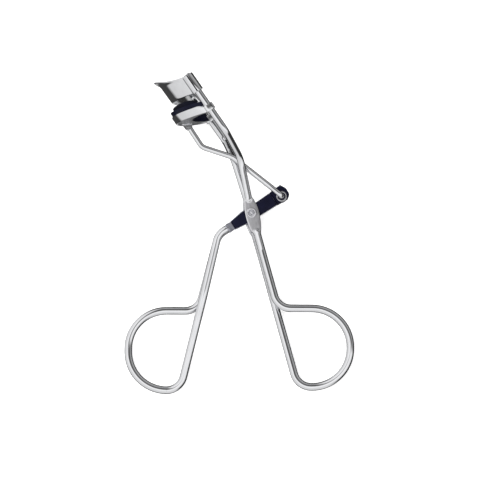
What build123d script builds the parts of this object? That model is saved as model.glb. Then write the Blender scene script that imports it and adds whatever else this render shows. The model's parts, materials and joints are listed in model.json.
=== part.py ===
"""Eyelash curler: a wire frame with two fixed uprights and a top jaw, a lever with the
other finger ring, and a push rod that slides the padded lower jaw along the uprights.

Two working planes are used.
  BAR   origin at the pivot, t along the lever bar, p across it, n out of the ring plane.
  HEAD  origin on the uprights' mid line, w the way the jaws bulge, n along the jaw's
        chord, s up the uprights.
Everything is drawn with the ring plane level, then turned once by REST_TILT, so that the
tool lies on a table on its two rings and its head.
"""

from build123d import *
import os
from math import cos, radians, sin, sqrt

# ---- driving dimensions, in mm and degrees -------------------------------------------
REST_TILT = 8.7            # the head's end is raised by this when the tool lies flat

WIRE_R = 1.28              # finger rings and shanks
UPRIGHT_R = 1.15           # the straight posts that the lower jaw runs on
STRAND_N = 1.33            # half the spacing of two strands that lie on each other
STRAND_SKEW = 0.3          # the near strand lies this much to the right, the far one to the left
NECK_N = 2.8               # half the spacing of the strands at the neck
POST_N = 13.5              # half the spacing of the uprights

RING_R = 12.7              # round side of a finger ring
RING_HEEL_R = 5.8          # tighter bend at a ring's heel
RING_CROTCH_R = 5.6        # bend where a ring leaves its shank
RIGHT_RING = (19.56, -44.1)
LEFT_RING = (-27.57, -44.65)
RIGHT_HEEL = (15.4, -57.1)
LEFT_HEEL = (-23.7, -58.2)
SHANK_SPLIT_Y = -24.0      # where a ring's wire is cut from its shank strands
SETTLE_LENGTH = 2.5        # below the cut, the far strand starts to drift to the ring's plane
SETTLE_R = 40.0
RING_N = 0.4               # the ring's turn winds from this to minus this

HEAD_ORIGIN = (-12.2, 31.0, 0.0)
POST_DIRECTION = (-0.568, 0.823, 0.0)
POST_TOP = 16.1            # s of the uprights' tips
POST_FOOT = -6.3           # s of the bend below the straight posts
NECK_FOOT = (-1.2, 4.5)
NECK_TOP = {1: (-3.6, 17.8), -1: (-5.8, 18.4)}    # near strand, far strand
PLATE_FOOT = (1.35, -6.2)

PLATE_N0 = 1.45            # inner face of a coined pivot plate
PLATE_T = 1.1
PLATE_LENGTH = 12.2
PLATE_WIDTH = 4.4

JAW_RAKE = 0.38            # rise of the jaws' edges for each mm of bulge
TOP_T = 0.7                # top jaw's wall
TOP_HALF_CHORD = 13.6      # the wall's arcs all spring from the uprights
TOP_APEX = ((7.0, 8.2), (19.0, 8.5), (24.0, 10.2))    # s, and the bulge outside, at three levels
TOP_EDGE_S = 8.9           # lower edge at w = 0
PAD_R = 15.2               # the curve that the top jaw's edge draws on the pad
PAD_APEX_W = 8.0
SLEEVE_R = 1.95
SLEEVE_S = (9.2, 15.7)
SEAM_WIDTH = 0.35

BAND_R = 13.7              # lower jaw's steel carrier, outside
BAND_APEX_W = 11.2
BAND_T = 0.5
BAND_S = (1.4, 4.2)        # lower and upper edge at w = 0
EAR_R = 1.62
EAR_S = (1.65, 3.95)
RUN_CLEARANCE = 0.08       # ears on the posts

PAD_WIDTH = 2.6
PAD_S = (4.9, 7.55)        # pad's seat and top at w = 0, open by 1.35 under the top jaw
PAD_HALF_SPAN = 9.8
HOLDER_S = (1.75, 5.8)
HOLDER_WALL = 0.7
HOLDER_HALF_SPAN = 11.7

ROD_R = 0.9                # push rod
JOINT_W = 8.2              # the rod's upper pivot
JOINT_S = 3.15
ROD_EYE_R = 1.05
ROD_EYE_HALF = 0.9
JAW_PIN_R = 0.5
PIN_CLEARANCE = 0.05
CHEEK_N = (1.0, 1.6)
BRACKET_R = 1.3
BRACKET_BASE_T = 0.45
ROD_KNEE = (-16.25, 22.05)
ROD_ELBOW = (-6.25, 18.8)
ROD_ELBOW_N = -0.4         # keeps the rod midway between the two strands of the neck
HOOK = (11.3, -0.6)        # the rod's hook, in t and p
ROD_HOOK_N = 2.8           # the rod passes in front of the lever's end
ROD_LEVEL_LENGTH = 4.2     # the rod's last stretch is level over the knob
ROD_END_N = -2.5

BAR_ANGLE = 32.5
BAR_HALF_T = 1.3
CORE_HALF_T = 0.6
COVER_OUTLINE = ((-7.35, -1.5, 1.35), (-2.5, -2.0, 2.0), (8.6, -2.0, 2.0))    # t, lower p, upper p
CORE_OUTLINE = ((-7.35, -1.6, 1.5), (-2.5, -2.1, 2.35), (8.6, -2.1, 2.35))
TANG_END_T = -9.7
TANG_END_HALF = (1.45, 2.7)
KNOB_CENTRE = (11.4, 0.45)
KNOB_R = 2.6
KNOB_HALF_T = 1.55
EYELET_BORE_R = 1.35       # loose round the hook: it takes up the linkage's small play
EYELET_R = 1.65
FLANGE_R = 2.0
FLANGE_T = 0.15
LEFT_SHANK_BEND_T = -13.0

RIVET_R = 1.0
RIVET_HEAD_R = 1.55
RIVET_HEAD_H = 0.75
BUSH_BORE_R = 1.05
BUSH_R = 1.35
WASHER_R = 1.9
WASHER_T = 0.1

# ---- working planes ------------------------------------------------------------------
UP = Vector(*POST_DIRECTION).normalized()
OUT = Vector(0, 0, 1).cross(UP)
HEAD = Plane(origin=HEAD_ORIGIN, x_dir=OUT, z_dir=UP)
BAR_DIRECTION = Vector(cos(radians(BAR_ANGLE)), sin(radians(BAR_ANGLE)), 0)
BAR = Plane(origin=(0, 0, 0), x_dir=BAR_DIRECTION, z_dir=(0, 0, 1))


def head_point(w, n, s):
    """A point given in HEAD coordinates, in the ring plane's frame."""
    return HEAD.from_local_coords(Vector(w, n, s))


def bar_point(t, p, n):
    """A point given in BAR coordinates, in the ring plane's frame."""
    return BAR.from_local_coords(Vector(t, p, n))


def post_w(half_span, radius, apex):
    """The bulge w of an arc of this radius and apex, at n = half_span."""
    return sqrt(radius ** 2 - half_span ** 2) - (radius - apex)


# ---- helpers -------------------------------------------------------------------------
def bent_wire(points, bend_radii, radius):
    """Round wire along straight runs joined by tangent bends."""
    path = FilletPolyline(*points, radius=bend_radii)
    section = Plane(origin=path @ 0, z_dir=path % 0) * Circle(radius)
    return sweep(section, path=path)


def cylinder_n(radius, n0, n1, plane, x, y):
    """A cylinder that stands on a plane, from height n0 to n1."""
    disc = Pos(x, y, n0) * Circle(radius)
    return plane.location * extrude(disc, amount=n1 - n0)


def post_cylinder(radius, s0, s1, side):
    """A cylinder round one upright, side +1 near or -1 far."""
    return cylinder_n(radius, s0, s1, HEAD, 0, side * POST_N)


def arc_band(outer_r, apex_w, thickness):
    """A flat ring, seen along s, whose outside reaches apex_w."""
    centre = Pos(apex_w - outer_r, 0)
    return centre * (Circle(outer_r) - Circle(outer_r - thickness))


def arc_sector(apex_w, half_chord, thickness, s):
    """A curved strip at height s that springs from w = 0 at both uprights."""
    inner_chord = half_chord - thickness
    inner_w = apex_w - thickness
    outer = ThreePointArc((0, -half_chord), (apex_w, 0), (0, half_chord))
    inner = ThreePointArc((0, inner_chord), (inner_w, 0), (0, -inner_chord))
    left = Line((0, half_chord), (0, inner_chord))
    right = Line((0, -inner_chord), (0, -half_chord))
    return Pos(0, 0, s) * make_face([outer, left, inner, right])


def side_prism(points, half_span):
    """A prism along n, from an outline in w and s."""
    outline = Plane.XZ * make_face(Polyline(*points, close=True))
    return extrude(outline, amount=half_span, both=True)


def raked_slab(s0, s1, w0, w1, half_span):
    """The slab between two edges that rise with the bulge."""
    corners = (
        (w0, s0 + JAW_RAKE * w0),
        (w1, s0 + JAW_RAKE * w1),
        (w1, s1 + JAW_RAKE * w1),
        (w0, s1 + JAW_RAKE * w0),
    )
    return side_prism(corners, half_span)


def bar_outline(stations):
    """A closed outline from (t, lower p, upper p) stations."""
    upper = [(t, high) for t, low, high in stations]
    lower = [(t, low) for t, low, high in reversed(stations)]
    return make_face(Polyline(*(upper + lower), close=True))


# ---- frame wire ----------------------------------------------------------------------
def along(start, end, y):
    """The point at height y on the line from start to end."""
    share = (y - start[1]) / (end[1] - start[1])
    return start[0] + share * (end[0] - start[0]), y


def finger_ring(centre, heel, shank_top, side):
    """A finger ring: one turn of wire that starts and ends side by side on its shank.

    The right ring's near strand turns off at the crotch, runs round the ring and comes
    back up the straight side as the far strand. On the left ring the strands swap.
    """
    crotch_y = centre[1] + RING_R
    sole_y = heel[1]
    split = along(shank_top, heel, SHANK_SPLIT_Y)
    settled = along(shank_top, heel, SHANK_SPLIT_Y - SETTLE_LENGTH)
    crotch = along(shank_top, heel, crotch_y)
    outer_x = centre[0] + side * (RING_R + 0.1)
    skew = side * STRAND_SKEW
    points = (
        (split[0] + skew, split[1], side * STRAND_N),
        (crotch[0] + skew, crotch[1], side * STRAND_N),
        (outer_x, crotch_y, side * RING_N),
        (outer_x, sole_y, -RING_N),
        (heel[0] - skew, heel[1], -RING_N),
        (settled[0] - skew, settled[1], -side * STRAND_N),
        (split[0] - skew, split[1], -side * STRAND_N),
    )
    radii = [RING_CROTCH_R, RING_R - 0.1, RING_R - 0.1, RING_HEEL_R, SETTLE_R]
    return bent_wire(points, radii, WIRE_R)


def frame_strand(side):
    """One strand of the frame wire: shank, coined pivot plate, neck, flare and upright."""
    split = along(PLATE_FOOT, RIGHT_HEEL, SHANK_SPLIT_Y)
    relax = along(PLATE_FOOT, RIGHT_HEEL, PLATE_FOOT[1] - 6.0)
    plate_n = side * (PLATE_N0 + PLATE_T / 2)
    skew = side * STRAND_SKEW
    neck_top = NECK_TOP[side]
    shank = bent_wire(
        (
            (split[0] + skew, split[1], side * STRAND_N),
            (relax[0] + skew, relax[1], side * STRAND_N),
            (PLATE_FOOT[0] + skew, PLATE_FOOT[1], plate_n),
            (skew, 0, plate_n),
        ),
        [6.0, 6.0],
        WIRE_R,
    )
    neck = bent_wire(
        (
            (skew, 0, plate_n),
            (NECK_FOOT[0] + skew, NECK_FOOT[1], plate_n),
            (neck_top[0], neck_top[1], side * NECK_N),
            head_point(0, side * POST_N, POST_FOOT),
            head_point(0, side * POST_N, POST_TOP),
        ),
        [8.0, 7.0, 4.0],
        UPRIGHT_R,
    )
    middle_x = (PLATE_FOOT[0] + NECK_FOOT[0]) / 2 + skew
    middle = (middle_x, (PLATE_FOOT[1] + NECK_FOOT[1]) / 2)
    lie = Vector(NECK_FOOT[0] - PLATE_FOOT[0], NECK_FOOT[1] - PLATE_FOOT[1], 0)
    plate_plane = Plane(origin=(middle[0], middle[1], plate_n - PLATE_T / 2), x_dir=lie)
    plate = extrude(plate_plane * Ellipse(PLATE_LENGTH / 2, PLATE_WIDTH / 2), PLATE_T)
    coining = Pos(middle[0], middle[1], plate_n) * Box(
        PLATE_WIDTH * 2, PLATE_LENGTH * 0.84, WIRE_R * 4
    )
    wires = (shank - coining) + (neck - coining)
    hole = cylinder_n(RIVET_R, -5, 5, BAR, 0, 0)
    return wires + plate - hole


# ---- top jaw -------------------------------------------------------------------------
def top_jaw():
    """The fixed jaw: a curved wall with a beak, rolled round both uprights."""
    sections = [arc_sector(w, TOP_HALF_CHORD, TOP_T, level) for level, w in TOP_APEX]
    wall = loft(sections, ruled=True)
    back_w = -0.2
    front_w = 12.0
    lower_edge = Line(
        (back_w, TOP_EDGE_S + JAW_RAKE * back_w),
        (front_w, TOP_EDGE_S + JAW_RAKE * front_w),
    )
    beak = ThreePointArc((front_w, 23.7), (5.2, 17.6), (back_w, 15.7))
    front = Line(lower_edge @ 1, beak @ 0)
    back = Line(beak @ 1, lower_edge @ 0)
    side_view = Plane.XZ * make_face([lower_edge, front, beak, back])
    wall = wall & extrude(side_view, amount=POST_N, both=True)
    jaw = HEAD.location * wall
    for side in (-1, 1):
        jaw = jaw + post_cylinder(SLEEVE_R, SLEEVE_S[0], SLEEVE_S[1], side)
    for side in (-1, 1):
        jaw = jaw - post_cylinder(UPRIGHT_R, 0, 30, side)
        seam_centre = Pos(-0.6, side * (POST_N + SLEEVE_R), 12.5)
        jaw = jaw - HEAD.location * (seam_centre * Box(SEAM_WIDTH, 0.9, 20))
    return jaw


# ---- lower jaw -----------------------------------------------------------------------
def jaw_carrier():
    """The steel band that carries the pad, with an ear that slides on each upright."""
    band = extrude(Pos(0, 0, -3) * arc_band(BAND_R, BAND_APEX_W, BAND_T), amount=18)
    band = band & raked_slab(BAND_S[0], BAND_S[1], -0.4, 12, POST_N + 1)
    carrier = HEAD.location * band
    for side in (-1, 1):
        carrier = carrier + post_cylinder(EAR_R, EAR_S[0], EAR_S[1], side)
    for side in (-1, 1):
        carrier = carrier - post_cylinder(UPRIGHT_R + RUN_CLEARANCE, -10, 20, side)
    return carrier


def pad_blank(s0, s1):
    """The pad's arc between two raked edges, with rounded ends."""
    end_w = post_w(PAD_HALF_SPAN, PAD_R, PAD_APEX_W)
    half = PAD_WIDTH / 2
    strip = arc_band(PAD_R + half, PAD_APEX_W + half, PAD_WIDTH)
    blank = extrude(Pos(0, 0, -3) * strip, amount=22)
    window = Pos(end_w + 10, 0, 5) * Box(20, 2 * PAD_HALF_SPAN, 40)
    blank = blank & window
    for side in (-1, 1):
        end = Pos(end_w, side * (PAD_HALF_SPAN - 0.1), -3) * Circle(half)
        blank = blank + extrude(end, amount=22)
    return blank & raked_slab(s0, s1, -2, 14, POST_N)


def lash_pad():
    """The replaceable rubber pad."""
    return HEAD.location * pad_blank(PAD_S[0], PAD_S[1])


def pad_holder():
    """The moulded holder between the steel band and the pad, with the pad's channel."""
    inner_r = PAD_R - PAD_WIDTH / 2 - HOLDER_WALL
    inner_apex = PAD_APEX_W - PAD_WIDTH / 2 - HOLDER_WALL
    outside = Pos(BAND_APEX_W - BAND_R, 0, -3) * Circle(BAND_R - BAND_T)
    inside = Pos(inner_apex - inner_r, 0, -3) * Circle(inner_r)
    body = extrude(outside, amount=22) - extrude(inside, amount=22)
    body = body & raked_slab(HOLDER_S[0], HOLDER_S[1], 0.6, 12, HOLDER_HALF_SPAN)
    body = body - pad_blank(PAD_S[0], PAD_S[1] + 6)
    return HEAD.location * body


def link_bracket():
    """The clip under the lower jaw that the push rod is pinned to."""
    under = HOLDER_S[0] + JAW_RAKE * JOINT_W
    left = JOINT_W - BRACKET_R
    right = JOINT_W + BRACKET_R
    top = (
        (left, under - JAW_RAKE * BRACKET_R),
        (left, JOINT_S),
        (right, JOINT_S),
        (right, under + JAW_RAKE * BRACKET_R),
    )
    clip = side_prism(top, CHEEK_N[1])
    foot = Plane.XZ * (Pos(JOINT_W, JOINT_S) * Circle(BRACKET_R))
    clip = clip + extrude(foot, amount=CHEEK_N[1], both=True)
    gap_s0 = HOLDER_S[0] - BRACKET_BASE_T - 8
    gap = raked_slab(gap_s0, HOLDER_S[0] - BRACKET_BASE_T, 4, 12, CHEEK_N[0])
    pin_hole = Plane.XZ * (Pos(JOINT_W, JOINT_S) * Circle(JAW_PIN_R))
    clip = clip - gap - extrude(pin_hole, amount=3, both=True)
    return HEAD.location * clip


def bracket_pin():
    """The headed pin through the bracket and the push rod's eye."""
    shaft = Plane.XZ * (Pos(JOINT_W, JOINT_S) * Circle(JAW_PIN_R))
    pin = extrude(shaft, amount=CHEEK_N[1] + 0.1, both=True)
    for side in (-1, 1):
        head = Plane.XZ * (Pos(JOINT_W, JOINT_S) * Circle(JAW_PIN_R + 0.3))
        disc = extrude(head, amount=0.15, both=True)
        pin = pin + Pos(0, side * (CHEEK_N[1] + 0.15), 0) * disc
    return HEAD.location * pin


# ---- push rod ------------------------------------------------------------------------
def push_rod():
    """The bent rod: an eye on the jaw's pin, a knee, an elbow and a hook."""
    joint = head_point(JOINT_W, 0, JOINT_S)
    elbow = Vector(ROD_ELBOW[0], ROD_ELBOW[1], ROD_ELBOW_N)
    hook = bar_point(*HOOK, ROD_HOOK_N)
    hook_end = bar_point(*HOOK, ROD_END_N)
    reach = Vector(hook.X - elbow.X, hook.Y - elbow.Y, 0).normalized()
    level = hook - reach * ROD_LEVEL_LENGTH
    knee = Vector(ROD_KNEE[0], ROD_KNEE[1], 0)
    path = (joint, knee, elbow, level, hook, hook_end)
    rod = bent_wire(path, [3.2, 4.5, 12.0, 1.3], ROD_R)
    eye = Plane.XZ * (Pos(JOINT_W, JOINT_S) * Circle(ROD_EYE_R))
    rod = rod + HEAD.location * extrude(eye, amount=ROD_EYE_HALF, both=True)
    hole = Plane.XZ * (Pos(JOINT_W, JOINT_S) * Circle(JAW_PIN_R + PIN_CLEARANCE))
    return rod - HEAD.location * extrude(hole, amount=3, both=True)


def hook_clip():
    """The push-on nut that keeps the hook in the lever's eyelet."""
    top = -KNOB_HALF_T - 0.4
    disc = cylinder_n(1.75, top - 0.35, top, BAR, *HOOK)
    return disc - cylinder_n(ROD_R, -6, 6, BAR, *HOOK)


# ---- lever ---------------------------------------------------------------------------
def lever_strand(side):
    """One strand of the lever's shank, from the tang down to the finger ring."""
    bend = bar_point(LEFT_SHANK_BEND_T, 0, 0)
    split = along((bend.X, bend.Y), LEFT_HEEL, SHANK_SPLIT_Y)
    skew = side * STRAND_SKEW
    points = (
        bar_point(TANG_END_T, 0, side * STRAND_N),
        (bend.X, bend.Y, side * STRAND_N),
        (split[0] + skew, split[1], side * STRAND_N),
    )
    return bent_wire(points, [5.5], WIRE_R)


def bar_section(t):
    """The plane across the bar at t, with x out of the ring plane."""
    return Plane(origin=bar_point(t, 0, 0), x_dir=(0, 0, 1), z_dir=-BAR_DIRECTION)


def lever_tang():
    """The flattened steel ferrule between the bar and its two shank strands."""
    half_w, half_n = TANG_END_HALF
    start_t, low, high = COVER_OUTLINE[0]
    first = bar_section(start_t) * RectangleRounded(2 * BAR_HALF_T, high - low, 0.5)
    last = bar_section(TANG_END_T) * RectangleRounded(2 * half_n, 2 * half_w, 1.1)
    return loft([first, last])


def lever_core():
    """The steel bar inside the lever's covers."""
    core = BAR.location * extrude(bar_outline(CORE_OUTLINE), CORE_HALF_T, both=True)
    return core - cylinder_n(BUSH_R, -5, 5, BAR, 0, 0)


def lever_cover(side):
    """One of the two moulded scales on the faces of the core."""
    outline = bar_outline(COVER_OUTLINE)
    scale = Pos(0, 0, side * CORE_HALF_T) * outline
    thickness = BAR_HALF_T - CORE_HALF_T
    cover = BAR.location * extrude(scale, amount=side * thickness)
    return cover - cylinder_n(BUSH_R, -5, 5, BAR, 0, 0)


def lever_knob():
    """The rounded end piece that takes the hook's eyelet."""
    start_t = COVER_OUTLINE[-1][0]
    centre_t, centre_p = KNOB_CENTRE
    length = centre_t - start_t
    throat = Pos(start_t + length / 2, centre_p) * Rectangle(length, 2 * KNOB_R - 0.2)
    nose = Pos(centre_t, centre_p) * Circle(KNOB_R)
    beyond_start = Pos(start_t + 10, 0) * Rectangle(20, 20)
    outline = (throat + nose) & beyond_start
    knob = BAR.location * extrude(outline, KNOB_HALF_T, both=True)
    return knob - cylinder_n(EYELET_R, -6, 6, BAR, *HOOK)


def hook_eyelet():
    """The flanged steel eyelet that lines the knob's hole."""
    eyelet = cylinder_n(EYELET_R, -KNOB_HALF_T, KNOB_HALF_T, BAR, *HOOK)
    top = KNOB_HALF_T + FLANGE_T
    eyelet = eyelet + cylinder_n(FLANGE_R, KNOB_HALF_T, top, BAR, *HOOK)
    eyelet = eyelet + cylinder_n(FLANGE_R, -top, -KNOB_HALF_T, BAR, *HOOK)
    return eyelet - cylinder_n(EYELET_BORE_R, -6, 6, BAR, *HOOK)


# ---- pivot ---------------------------------------------------------------------------
def pivot_rivet():
    """The headed rivet through both plates and the lever."""
    face = PLATE_N0 + PLATE_T
    rivet = cylinder_n(RIVET_R, -face, face, BAR, 0, 0)
    dome_r = (RIVET_HEAD_R ** 2 + RIVET_HEAD_H ** 2) / (2 * RIVET_HEAD_H)
    for side in (-1, 1):
        ball = Pos(0, 0, side * (face + RIVET_HEAD_H - dome_r)) * Sphere(dome_r)
        n0, n1 = sorted((side * face, side * (face + RIVET_HEAD_H)))
        rivet = rivet + (ball & cylinder_n(RIVET_HEAD_R + 0.01, n0, n1, BAR, 0, 0))
    dimple = cylinder_n(0.55, face + 0.45, face + 2, BAR, 0, 0)
    return rivet - dimple


def pivot_bush():
    """The lever's bush on the rivet."""
    ring = cylinder_n(BUSH_R, -BAR_HALF_T, BAR_HALF_T, BAR, 0, 0)
    return ring - cylinder_n(BUSH_BORE_R, -5, 5, BAR, 0, 0)


def pivot_washer(side):
    """The thin washer between a plate and the lever."""
    n0, n1 = sorted((side * (PLATE_N0 - WASHER_T), side * PLATE_N0))
    ring = cylinder_n(WASHER_R, n0, n1, BAR, 0, 0)
    return ring - cylinder_n(RIVET_R, -5, 5, BAR, 0, 0)


# ---- assembly ------------------------------------------------------------------------
def build_nodes():
    """Every sub-part, by name, with the ring plane level."""
    shank_bend = bar_point(LEFT_SHANK_BEND_T, 0, 0)
    left_shank_top = (shank_bend.X, shank_bend.Y)
    return {
        "right_finger_ring": finger_ring(RIGHT_RING, RIGHT_HEEL, PLATE_FOOT, 1),
        "frame_wire_near": frame_strand(1),
        "frame_wire_far": frame_strand(-1),
        "top_jaw": top_jaw(),
        "pivot_rivet": pivot_rivet(),
        "pivot_washer_near": pivot_washer(1),
        "pivot_washer_far": pivot_washer(-1),
        "left_finger_ring": finger_ring(LEFT_RING, LEFT_HEEL, left_shank_top, -1),
        "lever_shank_near": lever_strand(1),
        "lever_shank_far": lever_strand(-1),
        "lever_tang": lever_tang(),
        "lever_core": lever_core(),
        "lever_cover_near": lever_cover(1),
        "lever_cover_far": lever_cover(-1),
        "lever_knob": lever_knob(),
        "hook_eyelet": hook_eyelet(),
        "pivot_bush": pivot_bush(),
        "jaw_carrier": jaw_carrier(),
        "pad_holder": pad_holder(),
        "lash_pad": lash_pad(),
        "link_bracket": link_bracket(),
        "bracket_pin": bracket_pin(),
        "push_rod": push_rod(),
        "hook_clip": hook_clip(),
    }


def main():
    os.makedirs("parts", exist_ok=True)
    nodes = build_nodes()
    tilt = Rot(REST_TILT, 0, 0)
    lying = {name: tilt * shape for name, shape in nodes.items()}
    box = Compound(children=[Compound(shape.solids()) for shape in lying.values()]).bounding_box()
    shift = Pos(-box.center().X, -box.center().Y, -box.min.Z)
    for name, shape in lying.items():
        export_step(shift * shape, f"parts/{name}.step")
    print("box", box.min, box.max)
    print("shift", shift.position)


main()
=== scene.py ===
import json
from math import cos, hypot, pi, radians, sin, sqrt, tan

import bmesh
import bpy
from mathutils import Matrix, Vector


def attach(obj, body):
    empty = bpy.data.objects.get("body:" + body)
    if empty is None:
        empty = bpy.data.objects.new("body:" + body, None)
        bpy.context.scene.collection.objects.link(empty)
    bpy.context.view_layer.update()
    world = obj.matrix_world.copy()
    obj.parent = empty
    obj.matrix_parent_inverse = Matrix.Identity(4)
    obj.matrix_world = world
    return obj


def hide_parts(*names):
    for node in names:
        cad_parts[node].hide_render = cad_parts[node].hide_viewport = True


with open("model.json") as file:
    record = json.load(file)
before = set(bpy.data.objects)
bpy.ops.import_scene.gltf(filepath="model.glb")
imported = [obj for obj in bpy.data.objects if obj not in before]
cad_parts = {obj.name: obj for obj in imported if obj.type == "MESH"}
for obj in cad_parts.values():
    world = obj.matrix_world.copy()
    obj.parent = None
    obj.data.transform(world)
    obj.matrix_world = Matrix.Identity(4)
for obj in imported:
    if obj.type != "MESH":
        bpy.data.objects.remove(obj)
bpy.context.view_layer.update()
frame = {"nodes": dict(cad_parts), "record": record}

MM = 0.001

# ---- the tool's own axes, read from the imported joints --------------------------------
JOINTS = {joint["name"]: joint for joint in frame["record"]["behaviour"]["joints"]}
PIVOT = Vector(JOINTS["lever_pivot"]["pos_m"])
N_AXIS = Vector(JOINTS["lever_pivot"]["axis"]).normalized()
X_AXIS = Vector((1, 0, 0))
Y_AXIS = N_AXIS.cross(X_AXIS).normalized()

# shapes are made in mm, as (x, y, n) along the ring plane's own axes from the pivot
N = Vector((0, 0, 1))
SLIDE_AXIS = Vector(JOINTS["jaw_slide"]["axis"]).normalized()
UP = Vector((SLIDE_AXIS.dot(X_AXIS), SLIDE_AXIS.dot(Y_AXIS), 0)).normalized()
OUT = N.cross(UP)
PIN_W = 8.2                # the bracket pin, in the head's w and s
PIN_S = 3.15
PIN_OFFSET = Vector(JOINTS["link_swing"]["pos_m"]) - PIVOT
PIN = Vector((PIN_OFFSET.dot(X_AXIS), PIN_OFFSET.dot(Y_AXIS), 0)) / MM
HEAD_ORIGIN = PIN - OUT * PIN_W - UP * PIN_S
BAR_ANGLE = radians(32.5)
ALONG_BAR = Vector((cos(BAR_ANGLE), sin(BAR_ANGLE), 0))
ACROSS_BAR = N.cross(ALONG_BAR)


def local(x, y, n):
    """A place in the scene, in metres, from mm along the ring plane's axes."""
    return PIVOT + (X_AXIS * x + Y_AXIS * y + N_AXIS * n) * MM


def head(w, n, s):
    """w out along the jaws' bulge, n along their chord, s up the uprights."""
    return HEAD_ORIGIN + OUT * w + UP * s + N * n


def bar(t, p, n):
    """t along the lever's bar, p across it, n towards the near side."""
    return ALONG_BAR * t + ACROSS_BAR * p + N * n


# ---- camera --------------------------------------------------------------------------
VIEW_TILT = 7.1            # degrees between the line of sight and the rings' normal
CAMERA_DISTANCE = 3.0
SENSOR = 36.0
FRAME_WIDTH = 0.1574       # what the picture's width spans at the rings
AIM = (-3.8, -8.7, 0.0)    # picture's middle, mm from the pivot


def make_camera():
    """A long lens that looks nearly straight at the rings."""
    data = bpy.data.cameras.new("camera")
    data.sensor_width = SENSOR
    data.lens = SENSOR * CAMERA_DISTANCE / FRAME_WIDTH
    data.clip_end = 10
    camera = bpy.data.objects.new("camera", data)
    bpy.context.scene.collection.objects.link(camera)
    tilt = radians(VIEW_TILT)
    back = N_AXIS * cos(tilt) - Y_AXIS * sin(tilt)
    camera.location = local(*AIM) + back * CAMERA_DISTANCE
    camera.rotation_mode = "QUATERNION"
    camera.rotation_quaternion = back.to_track_quat("Z", "Y")
    bpy.context.scene.camera = camera


make_camera()


# ---- numbers and outlines ------------------------------------------------------------
def smooth01(x):
    """Rises smoothly from 0 to 1 as x does, and stays level outside."""
    x = min(1.0, max(0.0, x))
    return x * x * (3 - 2 * x)


def signed_power(x, power):
    """A power of x's size, with x's own sign."""
    return (1 if x > 0 else -1) * abs(x) ** power


def full_circle(count):
    """Evenly spaced angles, once round."""
    return [2 * pi * k / count for k in range(count)]


def turn_at(before, corner, after):
    """The angle by which a path turns at a corner."""
    back = (before - corner).normalized()
    ahead = (after - corner).normalized()
    return pi - back.angle(ahead)


def corner_arc(before, corner, after, radius, steps):
    """The points of the arc that rounds a corner."""
    back = (before - corner).normalized()
    ahead = (after - corner).normalized()
    turn = turn_at(before, corner, after)
    cut = radius * tan(turn / 2)
    centre = corner + (back + ahead).normalized() * (radius / cos(turn / 2))
    start = corner + back * cut - centre
    axis = start.cross(corner + ahead * cut - centre).normalized()
    sideways = axis.cross(start)
    angles = [turn * k / steps for k in range(steps + 1)]
    return [centre + start * cos(a) + sideways * sin(a) for a in angles]


def filleted(points, radii, step=radians(5)):
    """A path through the corner points with its corners rounded to the radii."""
    path = [points[0].copy()]
    for before, corner, after, radius in zip(points, points[1:], points[2:], radii):
        turn = turn_at(before, corner, after)
        if turn < 1e-3:
            continue
        path += corner_arc(before, corner, after, radius, max(2, int(turn / step) + 1))
    path.append(points[-1].copy())
    return path


def rounded_profile(corners, radius, steps=5):
    """A closed outline of pairs with its corners rounded to one radius or to a list of them."""
    points = [Vector((a, b, 0)) for a, b in corners]
    count = len(points)
    radii = radius if isinstance(radius, list) else [radius] * count
    out = []
    for i, corner in enumerate(points):
        before = points[i - 1]
        after = points[(i + 1) % count]
        if radii[i] <= 0 or turn_at(before, corner, after) < 0.02:
            out.append((corner.x, corner.y))
            continue
        arc = corner_arc(before, corner, after, radii[i], steps)
        out += [(p.x, p.y) for p in arc]
    return out


def filled_outline(corners, radii, longest):
    """A rounded outline with points spread evenly enough for clean rims."""
    rounded = rounded_profile(corners, radii, steps=6)
    out = []
    for a, b in zip(rounded, rounded[1:] + rounded[:1]):
        span = hypot(b[0] - a[0], b[1] - a[1])
        if span < 1e-4:
            continue
        count = int(span / longest) + 1
        for k in range(count):
            out.append((a[0] + (b[0] - a[0]) * k / count, a[1] + (b[1] - a[1]) * k / count))
    return out


def divided(path, longest):
    """The same path with every run divided into pieces no longer than this."""
    out = [path[0]]
    for a, b in zip(path, path[1:]):
        span = (b - a).length
        if span < 1e-6:
            continue
        count = int(span / longest) + 1
        out += [a.lerp(b, (k + 1) / count) for k in range(count)]
    return out


def lengths(path):
    """How far along the path each of its points lies."""
    total = [0.0]
    for a, b in zip(path, path[1:]):
        total.append(total[-1] + (b - a).length)
    return total


def tangents(path):
    """The path's direction at each of its points."""
    last = len(path) - 1
    steps = [(path[min(i + 1, last)] - path[max(i - 1, 0)]) for i in range(last + 1)]
    return [step.normalized() for step in steps]


# ---- mesh kit ------------------------------------------------------------------------
SHARP = radians(38)        # edges that turn more than this stay crisp
ROUND_SIDES = 48           # sides of a turned piece
WIRE_SIDES = 28            # sides of the push rod
END_STOPS = (0.03, 0.1, 0.25, 0.5, 1.0)
END_NARROWING = 0.28       # the share of its radius that a wire loses at its rounded end
RIM_ANGLES = [radians(d) for d in (0, 22, 45, 67, 90)]


def add_piece(name, bm, body, nodes, materials):
    """Turns a mesh given in the ring plane's mm into a finished, riding piece."""
    bmesh.ops.recalc_face_normals(bm, faces=bm.faces)
    for face in bm.faces:
        face.smooth = True
    for edge in bm.edges:
        edge.smooth = edge.calc_face_angle(0) < SHARP
    for vert in bm.verts:
        vert.co = local(*vert.co)
    mesh = bpy.data.meshes.new(name)
    bm.to_mesh(mesh)
    bm.free()
    piece = bpy.data.objects.new(name, mesh)
    bpy.context.scene.collection.objects.link(piece)
    for material in materials:
        mesh.materials.append(material)
    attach(piece, body)
    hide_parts(*nodes)


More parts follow.
